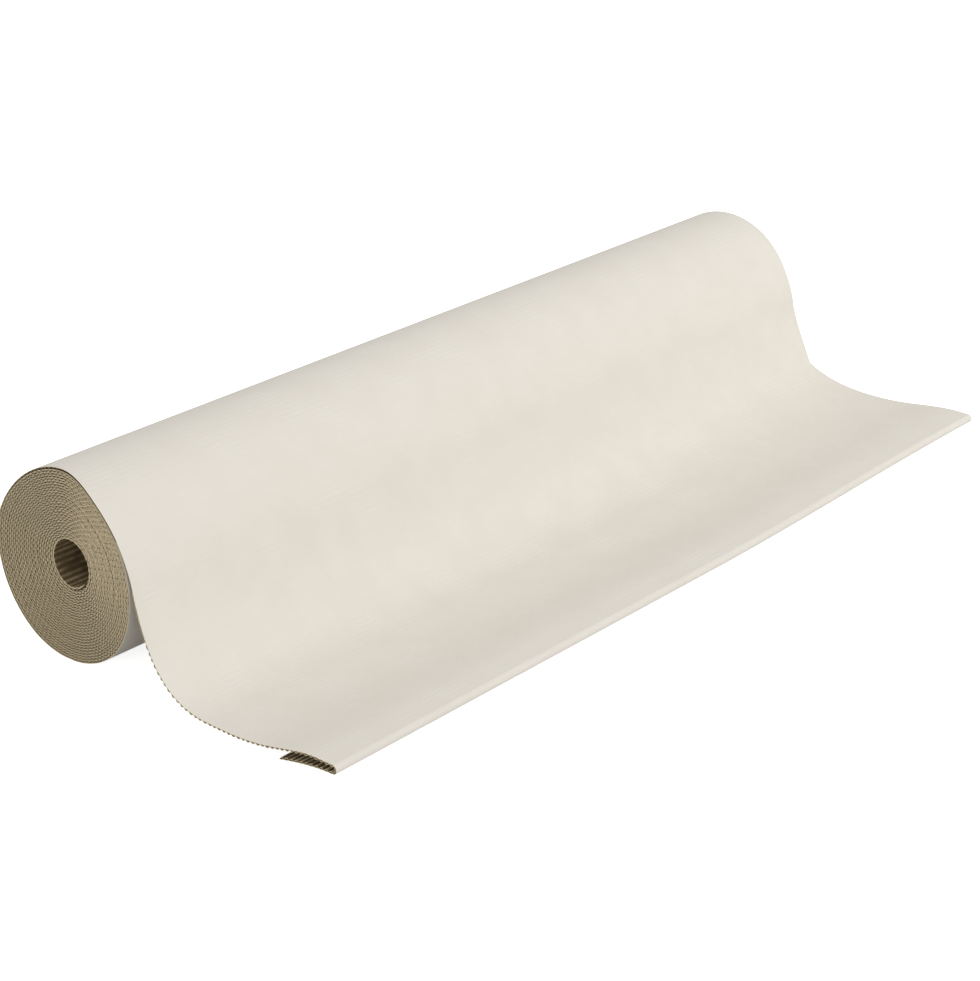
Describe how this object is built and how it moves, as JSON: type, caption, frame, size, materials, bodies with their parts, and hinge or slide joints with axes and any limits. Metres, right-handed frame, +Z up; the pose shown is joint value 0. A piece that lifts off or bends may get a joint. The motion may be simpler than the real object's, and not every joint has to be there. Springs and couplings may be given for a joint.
{
  "type": "corrugated cardboard roll",
  "caption": "Roll of single-faced corrugated cardboard for wrapping, pale liner outside and brown fluting inside, its free end drawn out and folded under",
  "frame": {"origin": "on the floor, at the middle of the footprint of the roll and its free end", "axes": "+X along the roll's axis, -Y toward the free end's folded edge, +Z up"},
  "size_m": [1, 0.4308, 0.1849],
  "materials": {
    "board": "matt pale liner outside, brown kraft fluting inside"
  },
  "bodies": {
    "root": {"corrugated_board": "board"}
  },
  "joints": []
}
